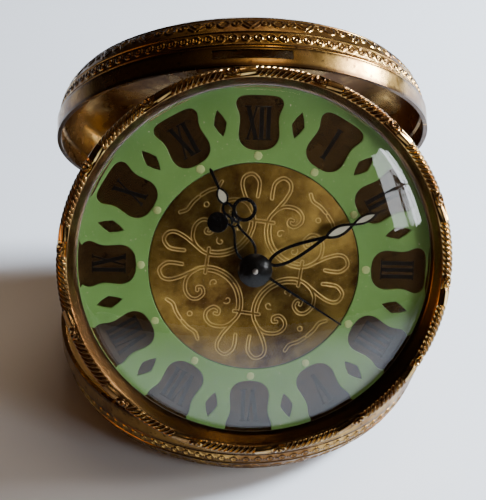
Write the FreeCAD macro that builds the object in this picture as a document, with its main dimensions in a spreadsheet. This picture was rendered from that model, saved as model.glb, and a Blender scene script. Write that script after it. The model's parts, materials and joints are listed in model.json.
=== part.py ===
import FreeCAD, Part
import math
import os
import Sketcher

# Folding round travel alarm clock, in millimetres: X to the right, +Y to the back, +Z up.
# The origin is the centre of the base shell's flat foot. The clock stands as a triangle of three panels:
# the base shell on the table, the drum hinged to the base's front wall, and the cover shell hinged to the
# base's rear edge, with the drum's top ledge leaning on the cover's rim.
#
# Drum parts are drawn in the drum's own frame: X to the right, Y towards twelve o'clock, and Z out of the
# dial, with Z = 0 at the underside of the bezel's skirt. Dial and movement parts have their origin on the
# hand arbor, which lies a little below the drum's axis.

DRIVING_SIZES = {
    # shells
    "shell_radius": 34.5,
    "shell_wall": 0.8,
    "shell_height": 12.4,
    "band_height": 3.4,
    "band_step": 0.4,
    "shoulder_radius": 9.0,
    "catch_slot_width": 13.6,
    "catch_slot_low": 1.3,
    "catch_slot_high": 2.7,
    # hinges
    "barrel_radius": 0.9,
    "pin_radius": 0.4,
    "running_gap": 0.05,
    "end_gap": 0.1,
    "knuckle_half": 3.9,
    "rear_hinge_half": 8.0,
    "front_hinge_half": 6.5,
    "rear_axis_back": 35.6,
    "rear_axis_lift": 0.2,
    "front_axis_forward": 31.9,
    "front_axis_drop": 0.9,
    "cover_angle": 54.5,
    "drum_tilt": 64.4,
    # drum case and bezel
    "drum_lift": 1.2,
    "case_radius": 29.8,
    "case_wall": 0.7,
    "case_depth": 8.5,
    "case_seat": 1.0,
    "back_thickness": 0.7,
    "skirt_radius": 31.6,
    "skirt_wall": 0.6,
    "rope_radius": 1.6,
    "rope_height": 6.5,
    "rope_reach": 31.5,
    "lip_radius": 29.5,
    "lip_height": 5.0,
    "lip_underside": 4.7,
    "crystal_flange": 30.6,
    "crystal_flange_low": 3.9,
    "crystal_dome": 29.3,
    "crystal_apex": 9.0,
    "crystal_thickness": 1.0,
    "prop_reach": 32.2,
    "prop_half": 11.0,
    "catch_reach": 34.0,
    "catch_low": 1.8,
    "catch_high": 2.5,
    # dial
    "movement_drop": 1.3,
    "dial_turn": 1.9,
    "dial_radius": 30.9,
    "dial_face": 1.8,
    "ring_height": 0.5,
    "disc_radius": 17.7,
    "disc_height": 0.3,
    "window_inner": 20.3,
    "window_outer": 29.2,
    "window_half_inner": 3.3,
    "window_half_waist": 2.9,
    "window_half_outer": 4.2,
    "lozenge_radius": 25.4,
    "lozenge_half_length": 2.25,
    "lozenge_half_width": 1.05,
    "dot_ring": 18.9,
    "dot_radius": 0.8,
    # hands
    "arbor_radius": 0.5,
    "pipe_wall": 0.35,
    "hour_angle": -24.25,
    "minute_angle": 65.0,
    "alarm_angle": 124.0,
    "hour_length": 18.5,
    "minute_length": 24.5,
    "alarm_hand_level": 3.05,
    "hour_hand_level": 3.75,
    "minute_hand_level": 4.45,
    "boss_radius": 2.9,
    "boss_height": 0.8,
    "arbor_tip": 0.6,
    "alarm_length": 17.75,
    "hand_thickness": 0.25,
    # movement
    "plate_radius": 26.0,
    "plate_thickness": 0.8,
    "front_plate_low": -1.2,
    "back_plate_low": -7.2,
    "pillar_radius": 1.2,
    "pillar_ring": 23.5,
    "screw_ring": 24.0,
}

HOURS = 12
NUMERALS = ("XII", "I", "II", "III", "IIII", "V", "VI", "VII", "VIII", "IX", "X", "XI")

doc = FreeCAD.newDocument("TravelClock")
sheet = doc.addObject("Spreadsheet::Sheet", "Sizes")
for row, (alias, value) in enumerate(DRIVING_SIZES.items(), 1):
    sheet.set(f"A{row}", alias)
    sheet.set(f"B{row}", str(value))
    sheet.setAlias(f"B{row}", alias)
doc.recompute()


class Size:
    """A length or angle together with the sheet expression that gives it."""

    def __init__(self, value, text):
        self.value = value
        self.text = text

    def _join(self, other, sign, value):
        return Size(value, f"({self.text} {sign} {as_size(other).text})")

    def __add__(self, other):
        return self._join(other, "+", self.value + as_size(other).value)

    def __sub__(self, other):
        return self._join(other, "-", self.value - as_size(other).value)

    def __mul__(self, factor):
        return self._join(factor, "*", self.value * as_size(factor).value)

    def __neg__(self):
        return self * -1


def as_size(number):
    return number if isinstance(number, Size) else Size(float(number), f"{number:.6f}")


def cell(alias):
    return Size(float(sheet.get(alias)), f"Sizes.{alias}")


DOME = "dome"
nodes = []


def place(*offset, turn=0.0, axis=(0, 0, 1)):
    return FreeCAD.Placement(FreeCAD.Vector(*offset), FreeCAD.Rotation(FreeCAD.Vector(*axis), turn))


def new_body(label, where):
    body = doc.addObject("PartDesign::Body", label)
    body.Label = label
    body.AllowCompound = True
    body.Placement = where
    nodes.append(body)
    return body


def new_feature(label, shape, where):
    """A sub-part that is neither sketched nor a primitive: its shape is worked out from the sheet."""
    feature = doc.addObject("Part::Feature", label)
    feature.Label = label
    feature.Shape = shape
    feature.Placement = where
    nodes.append(feature)
    return feature


def origin_feature(body, role):
    return next(item for item in body.Origin.OriginFeatures if item.Role == role)


def new_sketch(body, role, lift=None):
    sketch = body.newObject("Sketcher::SketchObject", f"{body.Label}_sketch")
    sketch.AttachmentSupport = (origin_feature(body, role), "")
    sketch.MapMode = "FlatFace"
    if lift is not None:
        sketch.AttachmentOffset = place(0, 0, lift.value)
        sketch.setExpression("AttachmentOffset.Base.z", lift.text)
    return sketch


def drive(sketch, constraint, size):
    index = sketch.addConstraint(constraint)
    sketch.setExpression(f"Constraints[{index}]", size.text)


def fix_point(sketch, edge, end, x, y):
    """Ties one end of an edge to its distances from the sketch's origin."""
    for size, kind, axis in ((x, "DistanceX", -2), (y, "DistanceY", -1)):
        if size.value == 0:
            sketch.addConstraint(Sketcher.Constraint("PointOnObject", edge, end, axis))
        else:
            drive(sketch, Sketcher.Constraint(kind, -1, 1, edge, end, size.value), size)


def arc_between(start, finish, radius):
    """The short arc of the given radius; a positive radius bulges to the right of the way it runs."""
    middle = (start + finish) * 0.5
    chord = finish - start
    left = FreeCAD.Vector(-chord.y, chord.x, 0).normalize()
    rise = math.sqrt(radius ** 2 - (chord.Length / 2) ** 2)
    centre = middle + left * math.copysign(rise, radius)
    first, last = (start, finish) if radius > 0 else (finish, start)
    angles = [math.atan2(p.y - centre.y, p.x - centre.x) for p in (first, last)]
    if angles[1] < angles[0]:
        angles[1] += 2 * math.pi
    return Part.ArcOfCircle(Part.Circle(centre, FreeCAD.Vector(0, 0, 1), abs(radius)), *angles)


def dome_between(start, finish):
    """The arc of a dome centred on the Y axis, where one of its two ends, the apex, lies."""
    apex, foot = (start, finish) if start.x == 0 else (finish, start)
    centre_y = (foot.x ** 2 + foot.y ** 2 - apex.y ** 2) / (2 * (foot.y - apex.y))
    centre = FreeCAD.Vector(0, centre_y, 0)
    angles = [math.atan2(p.y - centre_y, p.x) for p in (foot, apex)]
    return Part.ArcOfCircle(Part.Circle(centre, FreeCAD.Vector(0, 0, 1), apex.y - centre_y), *angles)


def draw_outline(sketch, outline):
    """A closed outline of points (x, y) or (x, y, radius): a radius turns the edge that follows into an arc.

    DOME in place of the radius makes it an arc whose centre is on the Y axis.
    """
    points = [(as_size(item[0]), as_size(item[1])) for item in outline]
    radii = [None if len(item) < 3 else item[2] if item[2] is DOME else as_size(item[2]) for item in outline]
    places = [FreeCAD.Vector(x.value, y.value, 0) for x, y in points]
    ends = []
    first_edge = sketch.GeometryCount
    for i, radius in enumerate(radii):
        start, finish = places[i], places[(i + 1) % len(places)]
        if radius is None:
            edge = sketch.addGeometry(Part.LineSegment(start, finish))
            ends.append((1, 2))
        elif radius is DOME:
            edge = sketch.addGeometry(dome_between(start, finish))
            ends.append((1, 2) if finish.x == 0 else (2, 1))
            sketch.addConstraint(Sketcher.Constraint("PointOnObject", edge, 3, -2))
        else:
            edge = sketch.addGeometry(arc_between(start, finish, radius.value))
            ends.append((1, 2) if radius.value > 0 else (2, 1))
        fix_point(sketch, edge, ends[i][0], *points[i])
    for i, radius in enumerate(radii):
        edge, following = first_edge + i, first_edge + (i + 1) % len(radii)
        join = (edge, ends[i][1], following, ends[(i + 1) % len(radii)][0])
        sketch.addConstraint(Sketcher.Constraint("Coincident", *join))
        if isinstance(radius, Size):
            positive = radius if radius.value > 0 else -radius
            drive(sketch, Sketcher.Constraint("Radius", edge, positive.value), positive)


def draw_circle(sketch, x, y, radius):
    x, y, radius = as_size(x), as_size(y), as_size(radius)
    circle = Part.Circle(FreeCAD.Vector(x.value, y.value, 0), FreeCAD.Vector(0, 0, 1), radius.value)
    edge = sketch.addGeometry(circle)
    fix_point(sketch, edge, 3, x, y)
    drive(sketch, Sketcher.Constraint("Radius", edge, radius.value), radius)


def revolve(body, outline):
    """Turns an outline of (radius, height) points about the body's Z axis."""
    sketch = new_sketch(body, "XZ_Plane")
    draw_outline(sketch, outline)
    turned = body.newObject("PartDesign::Revolution", f"{body.Label}_revolution")
    turned.Profile = sketch
    turned.ReferenceAxis = (sketch, ["V_Axis"])
    turned.Angle = 360
    return turned


def pad(body, low, high, outlines=(), circles=()):
    low, high = as_size(low), as_size(high)
    sketch = new_sketch(body, "XY_Plane", low)
    for outline in outlines:
        draw_outline(sketch, outline)
    for circle in circles:
        draw_circle(sketch, *circle)
    feature = body.newObject("PartDesign::Pad", f"{body.Label}_pad")
    feature.Profile = sketch
    feature.setExpression("Length", (high - low).text)
    return feature


def cut_through(body, role, outlines=(), circles=(), depth=None):
    """Cuts the outlines right through, or to the given depth on both sides of an origin plane."""
    before = body.Shape.Volume
    sketch = new_sketch(body, role)
    for outline in outlines:
        draw_outline(sketch, outline)
    for circle in circles:
        draw_circle(sketch, *circle)
    pocket = body.newObject("PartDesign::Pocket", f"{body.Label}_pocket")
    pocket.Profile = sketch
    pocket.Type = "ThroughAll" if depth is None else "Length"
    pocket.Midplane = True
    if depth is not None:
        pocket.setExpression("Length", depth.text)
    doc.recompute()
    if not body.Shape.Volume < before:
        raise ValueError(f"the pocket in {body.Label} cuts nothing")
    return pocket


def repeat_round(body, features, count):
    pattern = body.newObject("PartDesign::PolarPattern", f"{body.Label}_pattern")
    pattern.Originals = features
    pattern.Axis = (origin_feature(body, "Z_Axis"), [""])
    pattern.Angle = 360
    pattern.Occurrences = count
    body.Tip = pattern
    return pattern


def new_disc(label, where, radius, low, high, holes=()):
    body = new_body(label, where)
    pad(body, low, high, circles=[(0, 0, radius), *holes])
    return body


def new_plate(label, where, outline, low, high):
    body = new_body(label, where)
    pad(body, low, high, outlines=[outline])
    return body


def rectangle(left, right, low, high):
    return [(left, low), (right, low), (right, high), (left, high)]


# ---- where the three panels stand -----------------------------------------------------------------------

BASE_PLACE = place(0, 0, DRIVING_SIZES["shell_height"], turn=180, axis=(1, 0, 0))

rim_height = cell("shell_height").value
rear_axis = FreeCAD.Vector(0, cell("rear_axis_back").value, rim_height + cell("rear_axis_lift").value)
front_axis = FreeCAD.Vector(0, -cell("front_axis_forward").value, rim_height - cell("front_axis_drop").value)
cover_turn = place(turn=-cell("cover_angle").value, axis=(1, 0, 0))
drum_turn = place(turn=cell("drum_tilt").value, axis=(1, 0, 0))
# The closed cover's rim lies as far above the hinge's axis as the base's rim lies below it.
CLOSED_COVER = place(0, -rear_axis.y, cell("rear_axis_lift").value)
COVER_PLACE = place(*rear_axis).multiply(cover_turn).multiply(CLOSED_COVER)
FLAT_DRUM = place(0, cell("front_axis_forward").value, cell("drum_lift").value)
DRUM_PLACE = place(*front_axis).multiply(drum_turn).multiply(FLAT_DRUM)
DIAL_PLACE = DRUM_PLACE.multiply(place(0, -cell("movement_drop").value, 0))


def on_dial(x=0.0, y=0.0, turn=0.0):
    return DIAL_PLACE.multiply(place(x, y, 0, turn=turn))


# The printed and raised parts of the dial sit turned clockwise a little in the bezel.
FACE_PLACE = on_dial(turn=-cell("dial_turn").value)


# ---- shells ----------------------------------------------------------------------------------------------

def new_shell(label, where):
    """A stamped round lid with its rim at Z = 0 and its flat top above: band, step and rounded shoulder."""
    outer, wall, height = cell("shell_radius"), cell("shell_wall"), cell("shell_height")
    band, shoulder = cell("band_height"), cell("shoulder_radius")
    stepped = outer - cell("band_step")
    body = new_body(label, where)
    revolve(body, [
        (outer - wall, 0),
        (outer, 0),
        (outer, band),
        (stepped, band, shoulder),
        (stepped - shoulder, height),
        (0, height),
        (0, height - wall),
        (stepped - shoulder, height - wall, wall - shoulder),
        (stepped - wall, band),
        (outer - wall, band - cell("band_step")),
    ])
    return body


def new_cover_shell():
    """The cover is the base's twin, with a slot in its rim that snaps over the drum's catch."""
    body = new_shell("cover_shell", COVER_PLACE)
    doc.recompute()
    half = cell("catch_slot_width") * 0.5
    low, high = cell("catch_slot_low"), cell("catch_slot_high")
    before = body.Shape.Volume
    sketch = new_sketch(body, "XZ_Plane")
    draw_outline(sketch, rectangle(-half, half, low, high))
    pocket = body.newObject("PartDesign::Pocket", "cover_shell_slot")
    pocket.Profile = sketch
    pocket.Type = "ThroughAll"
    pocket.Reversed = True
    doc.recompute()
    if not body.Shape.Volume < before:
        raise ValueError("the catch slot cuts nothing")
    return body


new_shell("base_shell", BASE_PLACE)
new_cover_shell()


# ---- hinges ----------------------------------------------------------------------------------------------

def barrel(inner, outer, bore):
    """A hinge knuckle's barrel along X from inner to outer, with its bore."""
    along = FreeCAD.Vector(1, 0, 0)
    start = FreeCAD.Vector(inner, 0, 0)
    tube = Part.makeCylinder(cell("barrel_radius").value, outer - inner, start, along)
    return tube.cut(Part.makeCylinder(bore, outer - inner, start, along))


def block(x_range, y_range, z_range):
    low = FreeCAD.Vector(x_range[0], y_range[0], z_range[0])
    return Part.makeBox(x_range[1] - x_range[0], y_range[1] - y_range[0], z_range[1] - z_range[0], low)


def knuckle(x_range, y_range, z_range, bore, wall_axis_y, wall_radius, inside):
    """A barrel at the origin with a leaf block, trimmed to lie against a round wall whose axis is along Z."""
    core = Part.makeCylinder(bore, x_range[1] - x_range[0], FreeCAD.Vector(x_range[0], 0, 0),
                             FreeCAD.Vector(1, 0, 0))
    leaf = block(x_range, y_range, z_range).cut(core)
    shape = barrel(x_range[0], x_range[1], bore).fuse(leaf)
    reach = 60.0
    wall = Part.makeCylinder(wall_radius, 2 * reach, FreeCAD.Vector(0, wall_axis_y, -reach))
    return (shape.common(wall) if inside else shape.cut(wall)).removeSplitter()


def mirrored_pair(shape):
    return Part.makeCompound([shape, shape.mirror(FreeCAD.Vector(), FreeCAD.Vector(1, 0, 0))])


def new_hinge_pin(label, at, half_length):
    pin = doc.addObject("Part::Cylinder", label)
    pin.Label = label
    pin.setExpression("Radius", cell("pin_radius").text)
    pin.setExpression("Height", (half_length * 2).text)
    turned = FreeCAD.Rotation(FreeCAD.Vector(0, 1, 0), 90)
    pin.Placement = FreeCAD.Placement(FreeCAD.Vector(-half_length.value, at.y, at.z), turned)
    nodes.append(pin)


def new_hinges():
    pin, free = cell("pin_radius").value, cell("pin_radius").value + cell("running_gap").value
    middle = cell("knuckle_half").value
    outer_start = middle + cell("end_gap").value
    shell = cell("shell_radius").value
    leaf_root, leaf_tip = 0.45, 2.6
    # rear: leaf blocks run from the barrels to the outside of both shells
    rear_half = cell("rear_hinge_half").value
    rear = {"bore": pin, "wall_axis_y": -rear_axis.y, "wall_radius": shell, "inside": False}
    base_side = knuckle((outer_start, rear_half), (-2.4, 0), (-leaf_tip, -leaf_root), **rear)
    new_feature("rear_hinge_knuckles", mirrored_pair(base_side), place(*rear_axis))
    rear["bore"] = free
    cover_side = knuckle((-middle, middle), (-2.0, 0), (leaf_root, leaf_tip), **rear)
    new_feature("cover_hinge_knuckle", cover_side, place(*rear_axis).multiply(cover_turn))
    new_hinge_pin("rear_hinge_pin", rear_axis, cell("rear_hinge_half") + 0.3)
    # front: the base's blocks run to the inside of its wall, the drum's leaf to the case and the skirt
    front_half = cell("front_hinge_half").value
    base_inside = {"wall_axis_y": -front_axis.y, "wall_radius": shell - cell("shell_wall").value}
    bracket = knuckle((outer_start, front_half), (-2.4, 0), (-0.8, 0), pin, inside=True, **base_inside)
    new_feature("front_hinge_knuckles", mirrored_pair(bracket), place(*front_axis))
    lift, case = cell("drum_lift").value, cell("case_radius").value
    leaf = knuckle((-middle, middle), (-0.3, 2.6), (leaf_root, lift), free, -front_axis.y, case, False)
    new_feature("drum_hinge_leaf", leaf, place(*front_axis).multiply(drum_turn))
    new_hinge_pin("front_hinge_pin", front_axis, cell("front_hinge_half"))


new_hinges()


# ---- drum: bezel, crystal, case, back --------------------------------------------------------------------

def new_bezel():
    """One stamped ring: skirt, rope edge, sloping funnel wall and the lip that holds the crystal."""
    skirt, rope, height = cell("skirt_radius"), cell("rope_radius"), cell("rope_height")
    inside = skirt - cell("skirt_wall")
    body = new_body("bezel", DRUM_PLACE)
    revolve(body, [
        (inside, 0),
        (skirt, 0),
        (skirt, height - rope, rope * 1.06),
        (cell("rope_reach"), height + rope),
        (cell("lip_radius"), cell("lip_height")),
        (cell("lip_radius"), cell("lip_underside")),
        (inside, cell("lip_underside")),
    ])


def new_crystal():
    """A domed crystal with a flat flange that the bezel's lip holds down."""
    dome, apex, thick = cell("crystal_dome"), cell("crystal_apex"), cell("crystal_thickness")
    foot = cell("lip_underside")
    body = new_body("crystal", DRUM_PLACE)
    revolve(body, [
        (dome, cell("crystal_flange_low")),
        (cell("crystal_flange"), cell("crystal_flange_low")),
        (cell("crystal_flange"), foot - 0.1),
        (dome, foot - 0.1),
        (dome, foot, DOME),
        (0, apex),
        (0, apex - thick, DOME),
    ])


def new_crystal_seat():
    body = new_body("crystal_seat", DRUM_PLACE)
    skirt_inside = cell("skirt_radius") - cell("skirt_wall")
    face = cell("dial_face") + cell("ring_height")
    revolve(body, rectangle(skirt_inside - 1.0, skirt_inside, face, cell("crystal_flange_low")))


def new_case():
    """The drum's side wall, with the flange at its mouth that seats the dial plate."""
    outer, wall, seat = cell("case_radius"), cell("case_wall"), cell("case_seat")
    skirt_inside = cell("skirt_radius") - cell("skirt_wall")
    body = new_body("drum_case", DRUM_PLACE)
    revolve(body, [
        (outer - wall, -cell("case_depth")),
        (outer, -cell("case_depth")),
        (outer, 0),
        (skirt_inside, 0),
        (skirt_inside, seat),
        (outer - wall, seat),
    ])


def arc_ledge(label, sweep_half, inner, outer, low, high, side):
    """A flat ledge on the drum, with round edges about the drum's axis; side is 1 at XII and -1 at VI."""
    inner_y = math.sqrt(inner ** 2 - sweep_half ** 2)
    outer_y = math.sqrt(outer ** 2 - sweep_half ** 2)
    outline = [
        (-sweep_half, side * inner_y, inner * -side),
        (sweep_half, side * inner_y),
        (sweep_half, side * outer_y, outer * side),
        (-sweep_half, side * outer_y),
    ]
    new_plate(label, DRUM_PLACE, outline, low, high)


new_bezel()
new_crystal()
new_crystal_seat()
new_case()
arc_ledge("prop_ledge", cell("prop_half").value, cell("skirt_radius").value, cell("prop_reach").value,
          0, 0.9, side=1)
arc_ledge("catch_ledge", cell("knuckle_half").value + 2.6, cell("skirt_radius").value,
          cell("catch_reach").value, cell("catch_low"), cell("catch_high"), side=-1)

# ---- movement layout, from the hand arbor ----------------------------------------------------------------

BARREL_TEETH, PINION_TEETH, BARREL_MODULE = 64, 8, 0.28
CENTRE_TEETH, CENTRE_MODULE = 60, 0.24
ARBOR = 0.4
PIVOT = 0.3

barrel_distance = BARREL_MODULE * (BARREL_TEETH + PINION_TEETH) / 2
third_distance = CENTRE_MODULE * (CENTRE_TEETH + PINION_TEETH) / 2
TIME_BARREL_AT = (-barrel_distance, 0.0)
THIRD_AT = (third_distance * math.cos(math.radians(60)), third_distance * math.sin(math.radians(60)))
FOURTH_AT = (THIRD_AT[0] + 7.4, THIRD_AT[1])
ESCAPE_AT = (FOURTH_AT[0] + 5.8, FOURTH_AT[1] - 4.3)
PALLET_AT = (ESCAPE_AT[0] + 2.3, ESCAPE_AT[1] - 5.6)
BALANCE_AT = (16.0, -9.7)
ALARM_BARREL_AT = (-3.0, -14.7)
ALARM_KNOB_AT = (13.5, 12.0)
STOP_AT = (-6.0, 20.0)
HAMMER_AT = (-15.5, 14.5)

KEY_STEM = 0.8
KNOB_STEM = 0.6
STOP_STEM = 0.9
HOLE_GAP = 0.08


def hole(at, radius):
    return (at[0], at[1], radius + HOLE_GAP)


def ring_points(count, radius, first_degrees):
    angles = [math.radians(first_degrees + 360 * i / count) for i in range(count)]
    return [(radius * math.cos(a), radius * math.sin(a)) for a in angles]


SCREW_POINTS = ring_points(3, cell("screw_ring").value, 30)
SCREW_SHANK = 0.6


def new_back_cover():
    through = [
        hole(TIME_BARREL_AT, KEY_STEM),
        hole(ALARM_BARREL_AT, KEY_STEM),
        hole((0, 0), KNOB_STEM),
        hole(ALARM_KNOB_AT, KNOB_STEM),
        hole(STOP_AT, STOP_STEM),
    ]
    through += [(x, y, SCREW_SHANK) for x, y in SCREW_POINTS]
    low = -cell("case_depth") - cell("back_thickness")
    body = new_body("back_cover", DIAL_PLACE)
    pad(body, low, -cell("case_depth"), circles=[(0, cell("movement_drop"), cell("case_radius")), *through])


new_back_cover()
back_face = -cell("case_depth").value - cell("back_thickness").value


def cylinders(points, radius, low, high):
    up = FreeCAD.Vector(0, 0, 1)
    return [Part.makeCylinder(radius, high - low, FreeCAD.Vector(x, y, low), up) for x, y in points]


def new_screws():
    """Three cheese-head screws with slots, and the posts on the movement that they go into."""
    tip = back_face + 1.6
    screws = []
    for head, shank in zip(cylinders(SCREW_POINTS, 1.3, back_face - 0.5, back_face),
                           cylinders(SCREW_POINTS, SCREW_SHANK, back_face, tip)):
        centre = head.CenterOfMass
        slot = block((centre.x - 1.5, centre.x + 1.5), (centre.y - 0.15, centre.y + 0.15),
                     (back_face - 0.6, back_face - 0.25))
        screws.append(head.fuse(shank).cut(slot).removeSplitter())
    new_feature("back_screws", Part.makeCompound(screws), DIAL_PLACE)
    top = cell("back_plate_low").value
    posts = cylinders(SCREW_POINTS, 1.2, -cell("case_depth").value, top)
    bores = cylinders(SCREW_POINTS, SCREW_SHANK, -cell("case_depth").value, tip)
    posts = [post.cut(bore) for post, bore in zip(posts, bores)]
    new_feature("back_posts", Part.makeCompound(posts), DIAL_PLACE)


new_screws()


# ---- dial ------------------------------------------------------------------------------------------------

def new_chapter_ring():
    """A raised ring with a waisted numeral window at each hour and a lozenge between each two hours."""
    face = cell("dial_face")
    body = new_body("chapter_ring", FACE_PLACE)
    pad(body, face, face + cell("ring_height"), circles=[
        (0, cell("movement_drop"), cell("dial_radius")),
        (0, 0, cell("disc_radius")),
    ])
    doc.recompute()
    inner, outer = cell("window_inner"), cell("window_outer")
    near, waist, far = cell("window_half_inner"), cell("window_half_waist"), cell("window_half_outer")
    chamfer = 1.3
    window = [
        (-near + chamfer, inner),
        (near - chamfer, inner),
        (near, inner + chamfer),
        (near, inner + 2.6),
        (waist, inner + 4.6),
        (far, outer - 1.4),
        (far - 0.6, outer),
        (-far + 0.6, outer),
        (-far, outer - 1.4),
        (-waist, inner + 4.6),
        (-near, inner + 2.6),
        (-near, inner + chamfer),
    ]
    windows = cut_through(body, "XY_Plane", outlines=[window])
    repeat_round(body, [windows], HOURS)
    doc.recompute()
    radius, long, wide = cell("lozenge_radius"), cell("lozenge_half_length"), cell("lozenge_half_width")
    step = math.radians(180 / HOURS)
    across, along = math.cos(step), math.sin(step)
    lozenge = [
        ((radius - long) * along, (radius - long) * across),
        (radius * along + wide * across, radius * across - wide * along),
        ((radius + long) * along, (radius + long) * across),
        (radius * along - wide * across, radius * across + wide * along),
    ]
    lozenges = cut_through(body, "XY_Plane", outlines=[lozenge])
    repeat_round(body, [lozenges], HOURS)


def numeral_strokes(text):
    """The strokes of a Roman numeral as (x at its foot, x at its top, half width), centred on x = 0."""
    thick, thin = 0.34, 0.16
    letters = {
        "I": (1.0, [(0.0, 0.0, thick)]),
        "V": (1.9, [(0.0, -0.75, thick), (0.0, 0.75, thin)]),
        "X": (1.9, [(0.75, -0.75, thick), (-0.75, 0.75, thin)]),
    }
    width = sum(letters[letter][0] for letter in text)
    squeeze = min(1.0, 4.6 / width)
    strokes = []
    left = -width / 2
    for letter in text:
        advance, lines = letters[letter]
        middle = left + advance / 2
        for foot, top, half in lines:
            strokes.append(((middle + foot) * squeeze, (middle + top) * squeeze, half * squeeze))
        left += advance
    return strokes


def new_numerals():
    """Roman numerals on the dial plate, one in each window, with their feet towards the centre."""
    low = cell("dial_face").value
    foot, top = cell("window_inner").value + 2.2, cell("window_outer").value - 1.8
    solids = []
    for hour, text in enumerate(NUMERALS):
        solid = None
        for x_foot, x_top, half in numeral_strokes(text):
            corners = [(x_foot - half, foot), (x_foot + half, foot), (x_top + half, top), (x_top - half, top)]
            corners = [FreeCAD.Vector(x, y, low) for x, y in corners]
            bar = Part.Face(Part.makePolygon(corners + corners[:1])).extrude(FreeCAD.Vector(0, 0, 0.1))
            solid = bar if solid is None else solid.fuse(bar)
        solid = solid.removeSplitter()
        solid.rotate(FreeCAD.Vector(), FreeCAD.Vector(0, 0, 1), -360 / HOURS * hour)
        solids.append(solid)
    new_feature("numerals", Part.makeCompound(solids), FACE_PLACE)


def new_dots():
    face = cell("dial_face") + cell("ring_height")
    body = new_body("luminous_dots", FACE_PLACE)
    dot = pad(body, face, face + 0.2, circles=[(0, cell("dot_ring"), cell("dot_radius"))])
    repeat_round(body, [dot], HOURS)


dial_face = cell("dial_face")
pipe_outer = cell("arbor_radius").value + 2 * (cell("pipe_wall").value + cell("running_gap").value)
dial_bore = pipe_outer + 0.25
dial_plate = new_body("dial_plate", DIAL_PLACE)
pad(dial_plate, cell("case_seat"), dial_face, circles=[
    (0, cell("movement_drop"), cell("dial_radius")),
    (0, 0, dial_bore),
])
new_chapter_ring()
new_disc("centre_disc", FACE_PLACE, cell("disc_radius") - 0.05, dial_face, dial_face + cell("disc_height"),
         holes=[(0, 0, dial_bore)])
new_numerals()
new_dots()


# ---- wheels ----------------------------------------------------------------------------------------------

def toothed(teeth, module, low, high, bore=0.0, phase=0.0):
    """A wheel or pinion with slender straight-sided teeth; at phase 0 a tooth points along +X."""
    pitch = module * teeth / 2
    tip, root = pitch + 0.7 * module, pitch - 1.0 * module
    step = 2 * math.pi / teeth
    tip_half = 0.11 * step
    root_half = 0.21 * step * (root / pitch) ** -1
    points = []
    for i in range(teeth):
        middle = phase + i * step
        for radius, offset in ((root, -root_half), (tip, -tip_half), (tip, tip_half), (root, root_half)):
            angle = middle + offset
            points.append(FreeCAD.Vector(radius * math.cos(angle), radius * math.sin(angle), low))
    solid = Part.Face(Part.makePolygon(points + points[:1])).extrude(FreeCAD.Vector(0, 0, high - low))
    if bore:
        solid = solid.cut(Part.makeCylinder(bore, high - low, FreeCAD.Vector(0, 0, low)))
    return solid


def rod(radius, low, high):
    return Part.makeCylinder(radius, high - low, FreeCAD.Vector(0, 0, low))


def tube(outer, inner, low, high):
    return rod(outer, low, high).cut(rod(inner, low, high))


def joined(*shapes):
    solid = shapes[0]
    for shape in shapes[1:]:
        solid = solid.fuse(shape)
    return solid.removeSplitter()


front_low = cell("front_plate_low").value
front_high = front_low + cell("plate_thickness").value
back_low = cell("back_plate_low").value
back_high = back_low + cell("plate_thickness").value


def pivoted(low=back_low, high=front_high):
    """An arbor between the plates with a thinner pivot in each plate."""
    return joined(rod(ARBOR, back_high + 0.1, front_low - 0.1), rod(PIVOT, low, high))


PIVOT_HOLES = [hole(at, PIVOT) for at in (THIRD_AT, FOURTH_AT, ESCAPE_AT, PALLET_AT, BALANCE_AT, HAMMER_AT)]

new_disc("front_plate", DIAL_PLACE, cell("plate_radius"), front_low, front_high, holes=[
    (0, 0, dial_bore),
    hole(TIME_BARREL_AT, PIVOT),
    hole(ALARM_BARREL_AT, PIVOT),
    *PIVOT_HOLES,
])
new_disc("back_plate", DIAL_PLACE, cell("plate_radius"), back_low, back_high, holes=[
    hole((0, 0), cell("arbor_radius").value),
    hole(TIME_BARREL_AT, KEY_STEM),
    hole(ALARM_BARREL_AT, KEY_STEM),
    hole(ALARM_KNOB_AT, KNOB_STEM),
    hole(STOP_AT, STOP_STEM),
    *PIVOT_HOLES,
])
PILLARS = ring_points(4, cell("pillar_ring").value, 75)
new_feature("plate_pillars",
            Part.makeCompound(cylinders(PILLARS, cell("pillar_radius").value, back_high, front_low)),
            DIAL_PLACE)

CENTRE_PINION_SPAN = (-3.1, -2.3)
BARREL_RIM_SPAN = (-3.0, -2.4)
CENTRE_WHEEL_SPAN = (-1.9, -1.5)
THIRD_PINION_SPAN = (-2.1, -1.35)
THIRD_WHEEL_SPAN = (-4.3, -3.9)
half_pinion_step = math.pi / PINION_TEETH
third_bearing = math.radians(60)


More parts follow.
